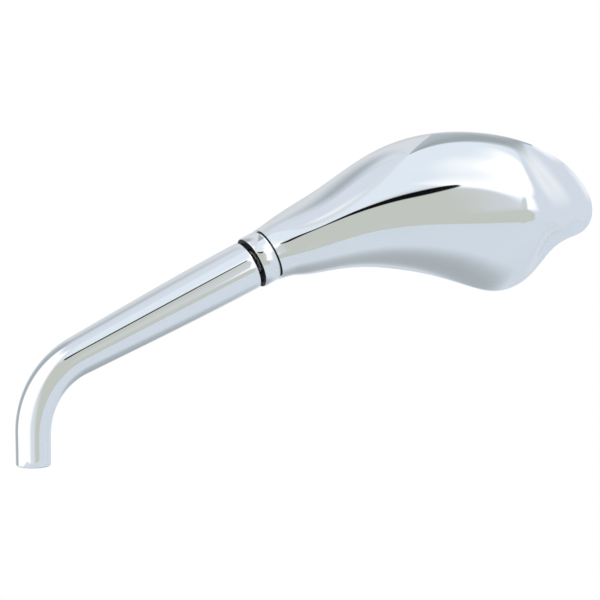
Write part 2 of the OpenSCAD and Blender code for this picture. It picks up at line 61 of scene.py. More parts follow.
# Sizes along the neck, counted from the stem's end face
GROOVE = 2.1
COLLAR_LEN = 7.9
SEAM = 0.6
NECK_FROM = GROOVE + COLLAR_LEN + SEAM
COLLAR_R = 12.1
COLLAR_END = 2.7
COLLAR_EDGE = 0.4
COLLAR_BEVEL = 1.0
SPIGOT_R = 9.7
SPIGOT_FROM = GROOVE + COLLAR_END
RECESS_R = 9.6
RECESS_D = 1.2
STUD_HOLE_R = 6.05
BORE_R = 7.6
BORE_TO = 21.7
BALL_AT = 9.0
NECK_R = 12.4

# Sizes of the head
RIM_BACK = 13.0
HEAD_YAW = 15.0
WALL = 2.6
RIM_EDGE = 2.2
SEAT_D = 6.6

# Sizes of the glass: its curve's radius, its thickness, the depth of its middle below the rim,
# its outline's distance inside the seat, its ground edge, and its middle's place along the crown
GLASS_CURVE_R = 1200.0
GLASS_T = 2.0
GLASS_LOW = 0.6
GLASS_IN = 1.4
GLASS_GROUND = 0.3
GLASS_MIDDLE = 0.72


def cosd(a):
    return math.cos(math.radians(a))


def sind(a):
    return math.sin(math.radians(a))


def ease(u):
    return u * u * (3 - 2 * u)


# Stem's centre line

BEND_TURN = 90 - ARM_RISE
BEND_LEN = BEND_R * math.radians(BEND_TURN)
STEM_LEN = FOOT_H + BEND_LEN + ARM_LEN


def stem_at(d):
    """Distance out, height and lean from upright of the stem's centre line, at a length along it."""
    if d < FOOT_H:
        return 0.0, d, 0.0
    if d < FOOT_H + BEND_LEN:
        turn = math.degrees((d - FOOT_H) / BEND_R)
        return BEND_R * (1 - cosd(turn)), FOOT_H + BEND_R * sind(turn), turn
    on = d - FOOT_H - BEND_LEN
    out = BEND_R * (1 - cosd(BEND_TURN)) + on * sind(BEND_TURN)
    return out, FOOT_H + BEND_R * sind(BEND_TURN) + on * cosd(BEND_TURN), BEND_TURN


def stem_radius(d):
    return FOOT_R + (STEM_END_R - FOOT_R) * ease(d / STEM_LEN)


def swept(out, side, z):
    """A point of the stem's own upright plane, turned back by the arm's sweep."""
    return Vector((out * cosd(ARM_SWEEP) - side * sind(ARM_SWEEP),
                   out * sind(ARM_SWEEP) + side * cosd(ARM_SWEEP), z)) * MM


STEM_TURN = Matrix.Rotation(math.radians(ARM_SWEEP), 4, "Z")
out_end, z_end = stem_at(STEM_LEN)[:2]
# From the neck's axis, with +Z along it and the stem's end face at 0, to the row frame
NECK = (Matrix.Translation(swept(out_end, 0, z_end)) @ STEM_TURN
        @ Matrix.Rotation(math.radians(90 - ARM_RISE), 4, "Y"))
# From the head's own axes, with the rim plane at height 0, to the row frame
HEAD = (NECK @ Matrix.Translation((0, 0, BALL_AT * MM))
        @ Matrix.Rotation(math.radians(ARM_RISE - 90), 4, "Y")
        @ Matrix.Rotation(math.radians(-ARM_SWEEP), 4, "Z")
        @ Matrix.Rotation(math.radians(HEAD_YAW), 4, "Z") @ Matrix.Rotation(math.radians(90), 4, "X")
        @ Matrix.Translation((0, 0, -RIM_BACK * MM)))


# Housing: guide points and wall shapes, in the head's axes, in millimetres

TURN_IN = ARM_SWEEP - HEAD_YAW
NECK_AXIS = Vector((cosd(ARM_RISE) * cosd(TURN_IN), sind(ARM_RISE), -cosd(ARM_RISE) * sind(TURN_IN)))
NECK_FRONT = (Vector((0, 0, 1)) - NECK_AXIS.z * NECK_AXIS).normalized()
NECK_UP = NECK_FRONT.cross(NECK_AXIS)


def neck_section(d, r, dip=0.0, sag=0.0):
    c = Vector((0, 0, RIM_BACK)) + d * NECK_AXIS
    return c + r * NECK_FRONT - dip * NECK_UP, c + r * NECK_UP, c - (r + sag) * NECK_UP


def section(crown, top, low):
    return Vector(crown), Vector(top), Vector(low)


def rim(x, y, z=0.0):
    return x, y, RIM_EDGE + z


SECTIONS = [
    neck_section(NECK_FROM - BALL_AT, NECK_R),
    neck_section(NECK_FROM - BALL_AT + 7, NECK_R + 0.25, 1.8, 0.9),
    section((21, 5.6, 25.2), rim(14, 20.4, 5.6), rim(20.5, -10.1, 5.2)),
    section((32, 9.1, 26), rim(27, 27.2, 1), rim(33, -8.9, 1)),
    section((45, 13.2, 27), rim(41, 37), rim(46, -8)),
    section((60, 15.8, 28.2), rim(56.5, 46.4), rim(61, -8.8)),
    section((75, 16.8, 29.4), rim(74, 51.8), rim(77, -11.4)),
    section((90, 17, 30), rim(91, 53.4), rim(92, -15.6)),
    section((104, 17, 30), rim(107, 52.4), rim(104.5, -20.3)),
    section((117, 16.5, 29.2), rim(121.5, 49.6), rim(115, -22.2)),
]
TIP_RIM = [Vector(rim(*p)) for p in (
    (134, 45), (145.5, 38.3), (154.5, 29.8), (160.2, 20), (160.6, 10.5),
    (155.5, 4.2), (148.5, 2.6), (141, -1.6), (134.6, -9.6), (127, -18))]
# Wall angle at the rim, pull of the rim's slope, radius over the crown, distance from rim to glass seat
ROUND_PULL = 0.552 * NECK_R
TOP_SHAPE = [
    (90, ROUND_PULL, NECK_R, 4), (90, ROUND_PULL, NECK_R, 4), (90, 9, 12.5, 4), (90, 12, 18.5, 4.2),
    (90, 13.5, 18.5, 4.2), (90, 14.5, 14.5, 4.2), (90, 15, 11.5, 4.2), (88, 15, 12, 4.2),
    (84, 15, 20, 4.4), (68, 15, 32, 6)]
TIP_SHAPE = [
    (40, 17, 38, 10), (20, 19, 37, 16), (13, 20, 36, 20.5), (13, 20, 36, 22.5), (14, 19, 36, 22.5),
    (15, 16, 36, 19), (18, 15, 36, 14.5), (26, 14, 36, 11.5), (42, 13, 37, 9), (56, 13, 38, 7.4)]
BOTTOM_SHAPE = [
    (90, ROUND_PULL, NECK_R, 4), (90, ROUND_PULL, NECK_R, 4), (88, 8.5, 14, 4), (85, 10.5, 18, 4.2),
    (82, 12, 22, 4.4), (79, 12.5, 25, 4.6), (76, 13, 29, 4.8), (72, 13, 33, 5.2),
    (67, 13, 37, 5.8), (62, 13, 38, 6.6)]

LAST = len(SECTIONS) - 1
CROWN_GUIDE = [s[0] for s in SECTIONS]
RIM_GUIDE = [s[1] for s in SECTIONS] + TIP_RIM + [s[2] for s in reversed(SECTIONS)]
SHAPE_GUIDE = [Vector(s) for s in TOP_SHAPE + TIP_SHAPE + BOTTOM_SHAPE[::-1]]

PER_SECTION = 8
PER_TIP = 8
RIB_STEPS = 30
SPANS = LAST * PER_SECTION
FANS = (len(TIP_RIM) + 1) * PER_TIP
RIBS = 2 * SPANS + FANS
FLAT_FROM = 3 * PER_SECTION
SEAT_FIRST = 4 * PER_SECTION
SEAT_LAST = RIBS - SEAT_FIRST
BACK_STEPS = 23
END_STEPS = 24


def guide(points, k):
    if k < 0:
        return 2 * points[0] - points[1]
    if k >= len(points):
        return 2 * points[-1] - points[-2]
    return points[k]


def smooth(points, at):
    """A cubic curve that follows a list of guide points with no break in its bend."""
    k = min(int(at + 1e-9), len(points) - 2)
    t = at - k
    s = 1 - t
    return (s ** 3 * guide(points, k - 1) + (3 * t ** 3 - 6 * t * t + 4) * guide(points, k)
            + (3 * s ** 3 - 6 * s * s + 4) * guide(points, k + 1) + t ** 3 * guide(points, k + 2)) / 6


def rib_place(j):
    if j <= SPANS:
        return j / PER_SECTION
    if j < SPANS + FANS:
        return LAST + (j - SPANS) / PER_TIP
    return LAST + len(TIP_RIM) + 1 + (j - SPANS - FANS) / PER_SECTION


def crown_index(j):
    return j if j <= SPANS else SPANS if j < SPANS + FANS else RIBS - j


def crown_at(i):
    return smooth(CROWN_GUIDE, i / PER_SECTION)


def rim_at(j):
    return smooth(RIM_GUIDE, rib_place(j))


def shape_at(j):
    return smooth(SHAPE_GUIDE, rib_place(j))


def front_at(i):
    u = min(1.0, max(0.0, i / PER_SECTION / 3))
    return (NECK_FRONT * (1 - ease(u)) + Vector((0, 0, 1)) * ease(u)).normalized()


def bezier(p, t):
    s = 1 - t
    return s ** 3 * p[0] + 3 * s * s * t * p[1] + 3 * s * t * t * p[2] + t ** 3 * p[3]


def rib_curve(start, crown, front, lean, pull, crown_r):
    rise = (crown - start).dot(front)
    across = crown - start - rise * front
    inward = across.normalized()
    first = start + pull * (cosd(lean) * inward + sind(lean) * front)
    reach = math.sqrt(max(0.1, (rise - pull * sind(lean)) * crown_r * 2 / 3))
    return start, first, crown - min(reach, 0.8 * across.length) * inward, crown


def outer_rib(j):
    i, s = crown_index(j), shape_at(j)
    return rib_curve(rim_at(j), crown_at(i), front_at(i), s[0], s[1], s[2])


def back_point(j, k):
    """Behind the neck the skin closes into a round tube, which flattens into the rim plane."""
    top, low = rim_at(j), rim_at(RIBS - j)
    mid, half = (top + low) / 2, (top - low) / 2
    w = 180 * k / (BACK_STEPS + 1)
    q = ease(j / FLAT_FROM)
    depth = half.length * (1 - q) + mid.z * q
    round_at = mid + half * cosd(w) - depth * sind(w) * front_at(j)
    side = 1 - 2 * (k - 1) / (BACK_STEPS - 1)
    flat_at = mid + half * side - Vector((0, 0, mid.z + half.z * side))
    return round_at * (1 - q) + flat_at * q


def flat(p, z=0.0):
    return Vector((p.x, p.y, z))


def seat_edge(j):
    r, c = rim_at(j), crown_at(crown_index(j))
    return flat(r + shape_at(j)[3] * flat(c - r).normalized())


def seat_loop_points():
    """The edge of the glass seat, set in from the rim, with a rounded inner end."""
    a, b = seat_edge(SEAT_LAST), seat_edge(SEAT_FIRST)
    pull = 0.38 * (b - a).length
    ends = (a, a + pull * (a - seat_edge(SEAT_LAST - 1)).normalized(),
            b + pull * (b - seat_edge(SEAT_FIRST + 1)).normalized(), b)
    return ([seat_edge(j) for j in range(SEAT_FIRST, SEAT_LAST + 1)]
            + [bezier(ends, k / (END_STEPS + 1)) for k in range(1, END_STEPS + 1)])


# Making meshes by hand

ROUND_SIDES = 128


def deselect_all():
    for o in bpy.context.selected_objects:
        o.select_set(False)


def take(piece):
    """Makes a piece the only one selected, and the active one."""
    deselect_all()
    piece.select_set(True)
    bpy.context.view_layer.objects.active = piece


def settle(piece, place):
    """Puts a piece's place into its mesh, so its object sits at the origin."""
    bpy.context.view_layer.update()
    piece.data.transform(place @ piece.matrix_world)
    piece.matrix_world = Matrix.Identity(4)


def apply_modifier(piece, name, kind, **settings):
    take(piece)
    made = piece.modifiers.new(name, kind)
    for key, value in settings.items():
        setattr(made, key, value)
    bpy.ops.object.modifier_apply(modifier=made.name)


def edit(piece):
    take(piece)
    bpy.ops.object.mode_set(mode="EDIT")


def done():
    bpy.ops.object.mode_set(mode="OBJECT")


def pick_faces(piece, wanted):
    """Selects the faces that a test of centre and normal, in millimetres, picks out."""
    done()
    bpy.ops.object.mode_set(mode="EDIT")
    bpy.ops.mesh.select_mode(type="FACE")
    bpy.ops.mesh.select_all(action="DESELECT")
    done()
    for f in piece.data.polygons:
        f.select = wanted(f.center / MM, f.normal)
    bpy.ops.object.mode_set(mode="EDIT")


def extrude(x, y, z):
    """Extrudes the selected faces by a distance in millimetres."""
    bpy.ops.mesh.extrude_region_move(TRANSFORM_OT_translate={"value": (x * MM, y * MM, z * MM)})


def scale_about(share, centre):
    bpy.ops.transform.resize(value=(share, share, share), center_override=[c * MM for c in centre])


def finish_piece(piece, body, nodes, material, angle=30):
    take(piece)
    bpy.ops.object.shade_smooth_by_angle(angle=math.radians(angle))
    piece.data.materials.clear()
    piece.data.materials.append(material)
    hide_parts(*nodes)
    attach(piece, body)


def paint_joint_shade(piece, wanted):
    """Gives painted shade, a near-black finish, to the faces that a test of radius and height, on the
    neck's axis, picks out.
    """
    piece.data.materials.append(JOINT_SHADE)
    back = NECK.inverted()
    for f in piece.data.polygons:
        at = back @ f.center / MM
        if wanted(math.hypot(at.x, at.y), at.z):
            f.material_index = 1


def lathe(name, profile):
    """Turns a closed profile of (radius, height) points round the neck's axis, as on a lathe."""
    deselect_all()
    mesh = bpy.data.meshes.new(name)
    edges = [(k, (k + 1) % len(profile)) for k in range(len(profile))]
    mesh.from_pydata([(r * MM, 0, z * MM) for r, z in profile], edges, [])
    piece = bpy.data.objects.new(name, mesh)
    bpy.context.scene.collection.objects.link(piece)
    edit(piece)
    bpy.ops.mesh.select_all(action="SELECT")
    bpy.ops.mesh.spin(steps=ROUND_SIDES, angle=2 * math.pi, center=(0, 0, 0), axis=(0, 0, 1))
    bpy.ops.mesh.select_all(action="SELECT")
    bpy.ops.mesh.remove_doubles(threshold=1e-6)
    bpy.ops.mesh.normals_make_consistent(inside=False)
    done()
    settle(piece, NECK)
    return piece


def mesh_piece(name, points, faces):
    mesh = bpy.data.meshes.new(name)
    mesh.from_pydata([p * MM for p in points], [], faces)
    piece = bpy.data.objects.new(name, mesh)
    bpy.context.scene.collection.objects.link(piece)
    return piece


# Shader maths

class Value:
    """A socket that takes part in sums, products and comparisons."""

    def __init__(self, nodes, socket):
        self.nodes = nodes
        self.socket = socket

    def maths(self, operation, *inputs):
        return self.nodes.add("ShaderNodeMath", {"operation": operation}, dict(enumerate(inputs)))

    def __add__(self, other):
        return self.maths("ADD", self, other)

    __radd__ = __add__

    def __sub__(self, other):
        return self.maths("SUBTRACT", self, other)

    def __rsub__(self, other):
        return self.maths("SUBTRACT", other, self)

    def __mul__(self, other):
        return self.maths("MULTIPLY", self, other)

    __rmul__ = __mul__

    def __truediv__(self, other):
        return self.maths("DIVIDE", self, other)

    def __rtruediv__(self, other):
        return self.maths("DIVIDE", other, self)

    def rises(self, low, high):
        """0 below low, 1 above high, and a soft step between them."""
        return self.nodes.add("ShaderNodeMapRange", {"interpolation_type": "SMOOTHSTEP"},
                              {"Value": self, "From Min": low, "From Max": high})

    def falls(self, low, high):
        return 1 - self.rises(low, high)

    def between(self, low, high):
        """The value, held between two limits."""
        return self.nodes.add("ShaderNodeClamp", {}, {"Value": self, "Min": low, "Max": high})

    def size(self):
        return self.maths("ABSOLUTE", self)


class Nodes:
    """The nodes of one material or of the world."""

    def __init__(self, tree):
        self.tree = tree
        self.tree.nodes.clear()

    def add(self, kind, settings=None, sockets=None, out=0):
        made = self.tree.nodes.new(kind)
        for key, value in (settings or {}).items():
            setattr(made, key, value)
        for key, value in (sockets or {}).items():
            if isinstance(value, Value):
                self.tree.links.new(value.socket, made.inputs[key])
            else:
                made.inputs[key].default_value = value
        return Value(self, made.outputs[out])

    def mix(self, factor, a, b):
        """One colour where the factor is 0 and the other where it is 1."""
        node = self.tree.nodes.new("ShaderNodeMix")
        node.data_type = "RGBA"
        for socket, value in ((node.inputs[0], factor), (node.inputs[6], a), (node.inputs[7], b)):
            if isinstance(value, Value):
                self.tree.links.new(value.socket, socket)
            else:
                socket.default_value = value
        return Value(self, node.outputs[2])

    def split(self, vector):
        node = self.tree.nodes.new("ShaderNodeSeparateXYZ")
        self.tree.links.new(vector.socket, node.inputs[0])
        return [Value(self, output) for output in node.outputs]

    def noise(self, scale, detail=2.0, roughness=0.5):
        place = self.add("ShaderNodeTexCoord", out=3)
        return self.add("ShaderNodeTexNoise", {}, {
            "Vector": place, "Scale": scale, "Detail": detail, "Roughness": roughness})


def rgb(r, g, b):
    """A colour as the eye reads it on screen, 0 to 255, in the renderer's own scale."""
    line = [c / 255 for c in (r, g, b)]
    return tuple(c / 12.92 if c <= 0.04045 else ((c + 0.055) / 1.055) ** 2.4 for c in line) + (1.0,)


def material(name):
    made = bpy.data.materials.new(name)
    made.use_nodes = True
    return made, Nodes(made.node_tree)


def surface(nodes, **sockets):
    named = {key.replace("_", " "): value for key, value in sockets.items()}
    shader = nodes.add("ShaderNodeBsdfPrincipled", {}, named)
    end = nodes.tree.nodes.new("ShaderNodeOutputMaterial")
    nodes.tree.links.new(shader.socket, end.inputs["Surface"])


def chrome():
    """Bright plated metal: a faint haze of wiping marks and a hardly visible wave of hand polishing."""
    made, n = material("polished_chrome")
    haze = n.noise(38, 4, 0.6)
    specks = n.noise(2600, 1, 0.5)
    wave = n.noise(24, 1, 0.4)
    bump = n.add("ShaderNodeBump", {}, {"Strength": 0.05, "Distance": 0.0002, "Height": wave})
    tint = n.mix(haze, rgb(243, 245, 247), rgb(249, 250, 251))
    surface(n, Base_Color=tint, Metallic=1.0, Roughness=0.015 + haze * 0.02 + specks * 0.01, Normal=bump)
    return made


def plain(name, dark, light, scale, roughness, spread, metallic=0.0, depth=0.0):
    """A finish whose colour and roughness vary a little over the surface, with a fine grain."""
    made, n = material(name)
    spots = n.noise(scale, 3, 0.55)
    grain = n.noise(scale * 12, 2, 0.5)
    bump = n.add("ShaderNodeBump", {}, {"Strength": 0.4, "Distance": depth, "Height": grain})
    surface(n, Base_Color=n.mix(spots, dark, light), Metallic=metallic,
            Roughness=roughness + spots * spread, Normal=bump)
    return made


CHROME = chrome()
STEEL = plain("turned_steel", rgb(150, 152, 155), rgb(176, 178, 181), 160, 0.22, 0.15, 1.0, 0.00002)
RUBBER = plain("black_rubber", rgb(20, 20, 21), rgb(32, 32, 34), 300, 0.55, 0.2, 0.0, 0.00003)
NYLON = plain("natural_nylon", rgb(214, 210, 196), rgb(226, 223, 212), 200, 0.4, 0.15, 0.0, 0.00002)
BRASS = plain("turned_brass", rgb(176, 140, 70), rgb(196, 160, 88), 180, 0.25, 0.15, 1.0, 0.00002)
FOAM = plain("black_foam", rgb(26, 26, 27), rgb(44, 44, 46), 900, 0.85, 0.1, 0.0, 0.0002)
PLASTIC = plain("moulded_black_plastic", rgb(24, 24, 25), rgb(34, 34, 36), 240, 0.45, 0.15, 0.0, 0.00004)
# Near-black finish: painted shade in the groove between stem and collar and in the stud's hole
JOINT_SHADE = plain("painted_joint_shade", rgb(26, 27, 28), rgb(38, 39, 40), 220, 0.55, 0.15, 0.0, 0.00003)


def mirror_glass():
    """Silvered glass: a clear hard coat over a bright layer with a faint cool tint."""
    made, n = material("silvered_glass")
    haze = n.noise(30, 3, 0.6)
    tint = n.mix(haze, rgb(222, 228, 230), rgb(228, 233, 235))
    surface(n, Base_Color=tint, Metallic=1.0, Roughness=0.01 + haze * 0.012,
            Coat_Weight=0.6, Coat_Roughness=0.01)
    return made


MIRROR = mirror_glass()

NODE_FINISH = {
    "ball_stud": STEEL, "stud_washer": STEEL, "dust_seal": RUBBER, "collar": CHROME,
    "seam_ring": RUBBER, "front_seat": NYLON, "ball_liner": NYLON, "pressure_cup": BRASS,
    "pressure_spring": STEEL, "spring_disc": STEEL, "rim_gasket": RUBBER, "mirror_glass": MIRROR,
    "foam_pad": FOAM, "carrier_plate": PLASTIC, "screw_1": STEEL, "screw_2": STEEL,
    "screw_3": STEEL, "screw_4": STEEL, "stem": CHROME, "housing": CHROME,
}
for node_name, finish in NODE_FINISH.items():
    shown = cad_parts[node_name]
    shown.data.materials.clear()
    shown.data.materials.append(finish)


# Stem: a disc extruded along the bend, swelling as it goes

BEND_STOPS = 40
ARM_STOPS = 30


def stem_stops():
    """Length along the centre line and inset of each ring, with a rounded edge at both ends."""
    edge = [(STEM_EDGE * (1 - cosd(w)), STEM_EDGE * (1 - sind(w))) for w in range(0, 91, 15)]
    foot = [(FOOT_H * k / 4, 0.0) for k in range(1, 4)]
    bend = [(FOOT_H + BEND_LEN * k / BEND_STOPS, 0.0) for k in range(BEND_STOPS + 1)]
    arm_from = FOOT_H + BEND_LEN
    arm = [(arm_from + (ARM_LEN - STEM_EDGE) * k / ARM_STOPS, 0.0) for k in range(1, ARM_STOPS + 1)]
    end = [(STEM_LEN - d, inset) for d, inset in reversed(edge[:-1])]
    return edge + foot + bend + arm + end


def make_stem():
    stops = stem_stops()
    radius = stem_radius(0) - STEM_EDGE
    deselect_all()
    bpy.ops.mesh.primitive_circle_add(vertices=ROUND_SIDES, radius=radius * MM, fill_type="NGON")
    piece = bpy.context.object
    piece.name = "chromed_stem"
    edit(piece)
    bpy.ops.mesh.select_all(action="SELECT")
    here, lean = (0.0, 0.0, 0.0), 0.0
    for d, inset in stops[1:]:
        out, z, new_lean = stem_at(d)
        extrude(out - here[0], 0, z - here[2])
        here = (out, 0.0, z)
        if new_lean > lean:
            bpy.ops.transform.rotate(value=-math.radians(new_lean - lean), orient_axis="Y",
                                     center_override=[c * MM for c in here])
        new_radius = stem_radius(d) - inset
        scale_about(new_radius / radius, here)
        lean, radius = new_lean, new_radius
    # The hole for the ball stud, in the end that is still selected
    along = (sind(lean), 0.0, cosd(lean))
    bpy.ops.mesh.inset(thickness=(radius - STUD_MOUTH_R) * MM)
    extrude(*[-STUD_MOUTH * a for a in along])
    scale_about(STUD_THREAD_R / STUD_MOUTH_R, [h - STUD_MOUTH * a for h, a in zip(here, along)])
    extrude(*[(STUD_MOUTH - STUD_THREAD_DEPTH) * a for a in along])
    # The fixing thread's hole in the foot, with a chamfered mouth
    pick_faces(piece, lambda at, n: n.z < -0.99 and at.z < 0.01)
    mouth_r = THREAD_OUTER_R + THREAD_MOUTH
    bpy.ops.mesh.inset(thickness=(stem_radius(0) - STEM_EDGE - mouth_r) * MM)
    extrude(0, 0, THREAD_MOUTH)
    scale_about(THREAD_OUTER_R / mouth_r, (0, 0, THREAD_MOUTH))
    extrude(0, 0, THREAD_DEPTH)
    scale_about(0.05, (0, 0, THREAD_DEPTH + THREAD_MOUTH))
    extrude(0, 0, DRILL_TIP)
    done()
    return piece


def make_fixing_thread():
    """The ridge of the thread in the foot: a wedge wound up the hole."""
    deselect_all()
    bpy.ops.mesh.primitive_circle_add(vertices=4, radius=0.5 * MM, rotation=(math.pi / 2, 0, 0),
                                      location=(THREAD_OUTER_R * MM, 0, 1.2 * MM))
    ridge = bpy.context.object
    bpy.ops.object.transform_apply(location=True, rotation=True, scale=True)
    apply_modifier(ridge, "thread", "SCREW", angle=2 * math.pi, screw_offset=THREAD_PITCH * MM,
                   iterations=int((THREAD_DEPTH - 2) / THREAD_PITCH), steps=48, render_steps=48)
    edit(ridge)
    bpy.ops.mesh.select_all(action="SELECT")
    bpy.ops.mesh.fill_holes(sides=4)
    bpy.ops.mesh.normals_make_consistent(inside=False)
    done()
    return ridge


stem = make_stem()
ridge = make_fixing_thread()
take(stem)
ridge.select_set(True)
bpy.ops.object.join()
settle(stem, STEM_TURN)
finish_piece(stem, "root", ["stem"], CHROME)
# The stem's end face and its stud hole are given painted shade
paint_joint_shade(stem, lambda r, z: r < STEM_END_R - STEM_EDGE and -STUD_THREAD_DEPTH - 1 < z < 0.05)


# Housing. Its skins are curves in two directions that no extrusion gives, so they are laid
# rib by rib; the flat rim, the neck's end and its bore are then worked on the mesh.

def make_housing():
    n = RIB_STEPS
    seat = seat_loop_points()
    seat_count, seat_ribs = len(seat), SEAT_LAST - SEAT_FIRST + 1
    outer = [outer_rib(j) for j in range(RIBS + 1)]

    def seat_crown(l):
        return crown_index(SEAT_FIRST + l) if l < seat_ribs else SEAT_FIRST

    def inner_rib(l):
        i = seat_crown(l)
        shape = shape_at(SEAT_FIRST + l if l < seat_ribs else SEAT_FIRST)
        start, to = flat(seat[l], SEAT_D), crown_at(i) - Vector((0, 0, WALL))
        rise = to.z - start.z
        return rib_curve(start, to, Vector((0, 0, 1)), 80, 0.35 * rise, 0.7 * shape[2])

    inner = [inner_rib(l) for l in range(seat_count)]
    points = [bezier(outer[j], s / n) for j in range(RIBS + 1) for s in range(n)]
    crown_0 = len(points)
    points += [crown_at(i) for i in range(SPANS + 1)]
    back_0 = len(points)
    points += [back_point(j, k) for j in range(FLAT_FROM + 1) for k in range(1, BACK_STEPS + 1)]
    edge_0 = len(points)
    points += [flat(rim_at(j)) for j in range(FLAT_FROM + 1, RIBS - FLAT_FROM)]
    loop_0 = len(points)
    points += seat
    hollow_0 = len(points)
    points += [bezier(inner[l], s / n) for l in range(seat_count) for s in range(n)]
    peak_0 = len(points)
    points += [crown_at(i) - Vector((0, 0, WALL)) for i in range(SEAT_FIRST, SPANS + 1)]

    def skin(j, s):
        return j * n + s if s < n else crown_0 + crown_index(j)

    def rear(j, k):
        return back_0 + j * BACK_STEPS + k - 1

    def hollow(l, s):
        l %= seat_count
        return hollow_0 + l * n + s if s < n else peak_0 + seat_crown(l) - SEAT_FIRST

    def edge(j):
        if j == FLAT_FROM:
            return rear(FLAT_FROM, 1)
        if j == RIBS - FLAT_FROM:
            return rear(FLAT_FROM, BACK_STEPS)
        return edge_0 + j - FLAT_FROM - 1

    faces = []

    def four(*corners):
        kept = [c for k, c in enumerate(corners) if c not in corners[:k]]
        if len(kept) > 2:
            faces.append(kept)

    for j in range(RIBS):
        for s in range(n):
            four(skin(j, s), skin(j + 1, s), skin(j + 1, s + 1), skin(j, s + 1))
    faces.append([skin(0, s) for s in range(n + 1)] + [skin(RIBS, s) for s in range(n - 1, -1, -1)]
                 + [rear(0, k) for k in range(BACK_STEPS, 0, -1)])
    for j in range(FLAT_FROM):
        for k in range(BACK_STEPS + 1):
            a = skin(j, 0) if k == 0 else rear(j, k)
            b = skin(RIBS - j, 0) if k == BACK_STEPS else rear(j, k + 1)
            c = skin(RIBS - j - 1, 0) if k == BACK_STEPS else rear(j + 1, k + 1)
            d = skin(j + 1, 0) if k == 0 else rear(j + 1, k)
            four(a, b, c, d)
    for j in range(FLAT_FROM, RIBS - FLAT_FROM):
        four(skin(j, 0), edge(j), edge(j + 1), skin(j + 1, 0))
    for l in range(seat_count):
        o = (l + 1) % seat_count
        four(loop_0 + l, hollow(l, 0), hollow(o, 0), loop_0 + o)
        for s in range(n):
            four(hollow(l, s), hollow(l, s + 1), hollow(l + 1, s + 1), hollow(l + 1, s))
    piece = mesh_piece("cast_housing", points, faces)

    edit(piece)
    bpy.ops.mesh.select_mode(type="EDGE")
    bpy.ops.mesh.select_all(action="DESELECT")
    bpy.ops.mesh.select_non_manifold()
    bpy.ops.mesh.bridge_edge_loops()
    bpy.ops.mesh.select_all(action="SELECT")
    bpy.ops.mesh.normals_make_consistent(inside=False)
    # The neck's end: a spigot that the collar grips, bored for the ball joint
    along = NECK_AXIS
    end_at = Vector((0, 0, RIM_BACK)) + (NECK_FROM - BALL_AT) * along
    pick_faces(piece, lambda at, way: (at - end_at).length < 1 and way.dot(along) < -0.99)
    bpy.ops.mesh.inset(thickness=(NECK_R - SPIGOT_R) * MM)
    extrude(*(along * (SPIGOT_FROM - NECK_FROM)))
    bpy.ops.mesh.inset(thickness=(SPIGOT_R - BORE_R) * MM)
    extrude(*(along * (BORE_TO - SPIGOT_FROM)))
    done()
    settle(piece, HEAD)
    return piece


housing = make_housing()
finish_piece(housing, "head", ["housing"], CHROME, angle=40)


GLASS_RINGS = 24


def make_glass():
    """A sheet bent to a large ball's curve, cut to the seat's outline, with a ground edge."""
    seat = seat_loop_points()
    count = len(seat)
    mid = flat(crown_at(round(SPANS * GLASS_MIDDLE)))

    def on_curve(at):
        return GLASS_LOW + GLASS_CURVE_R - math.sqrt(GLASS_CURVE_R ** 2 - (at - mid).length_squared)

    edge = []
    for l in range(count):
        way = (seat[(l + 1) % count] - seat[l - 1]).normalized()
        edge.append(seat[l] + GLASS_IN * Vector((way.y, -way.x, 0)))
    points = [flat(p, on_curve(p) + GLASS_GROUND) for p in edge]
    for k in range(GLASS_RINGS):
        for p in edge:
            at = mid + (p - mid) * (1 - k / GLASS_RINGS) * (1 - GLASS_GROUND / (p - mid).length)
            points.append(flat(at, on_curve(at)))
    points.append(flat(mid, GLASS_LOW))
    faces = []
    for l in range(count):
        o = (l + 1) % count
        for k in range(GLASS_RINGS):
            faces.append((k * count + l, k * count + o, (k + 1) * count + o, (k + 1) * count + l))
        faces.append((GLASS_RINGS * count + l, GLASS_RINGS * count + o, len(points) - 1))
    piece = mesh_piece("convex_glass", points, faces)
    edit(piece)
    bpy.ops.mesh.select_all(action="SELECT")
    bpy.ops.mesh.normals_make_consistent(inside=False)
    done()
    if piece.data.polygons[-1].normal.z > 0:
        edit(piece)
        bpy.ops.mesh.select_all(action="SELECT")
        bpy.ops.mesh.flip_normals()
        done()
    apply_modifier(piece, "thickness", "SOLIDIFY", thickness=GLASS_T * MM, offset=-1.0)
    settle(piece, HEAD)
    return piece


glass = make_glass()
finish_piece(glass, "head", ["mirror_glass"], MIRROR)

collar = lathe("chromed_collar", [
    (RECESS_R, GROOVE), (COLLAR_R - COLLAR_EDGE, GROOVE), (COLLAR_R - 0.12, GROOVE + 0.12),
    (COLLAR_R, GROOVE + COLLAR_EDGE), (COLLAR_R, GROOVE + COLLAR_LEN - COLLAR_BEVEL),
    (COLLAR_R - 0.6, GROOVE + COLLAR_LEN), (SPIGOT_R + 0.05, GROOVE + COLLAR_LEN),
    (SPIGOT_R + 0.05, GROOVE + COLLAR_END), (STUD_HOLE_R, GROOVE + COLLAR_END),
    (STUD_HOLE_R, GROOVE + RECESS_D), (RECESS_R, GROOVE + RECESS_D)])
finish_piece(collar, "head", ["collar"], CHROME, angle=35)
# The collar's end face and its recess, which face the groove, are given painted shade
paint_joint_shade(collar, lambda r, z: z < GROOVE + 0.05 and r < COLLAR_R - COLLAR_EDGE
           or z < GROOVE + COLLAR_END - 0.1 and r < RECESS_R)

# The lip fills the groove to the eye, but lies under the collar at every tilt
seal = lathe("dust_lip", [
    (5.6, 0.02), (10.35, 0.02), (10.42, 0.1), (10.42, 0.26), (10.25, 0.34), (8.6, 0.56), (8.22, 0.74),
    (8.15, 1.15), (7.95, 1.4), (7.2, 1.48), (6.6, 1.3), (5.6, 1.2)])
finish_piece(seal, "swivel", ["dust_seal"], RUBBER, angle=35)


# Room, light and camera

CAMERA_AT = (0.11726, -1.47527, 0.28087)
CAMERA_DOWN = 8.0
LENS = 204.55
LIT_FROM = Vector((0.12, 0.04, 0.08))
LAMP_AWAY = 1.4
TABLE_TOP = -0.2


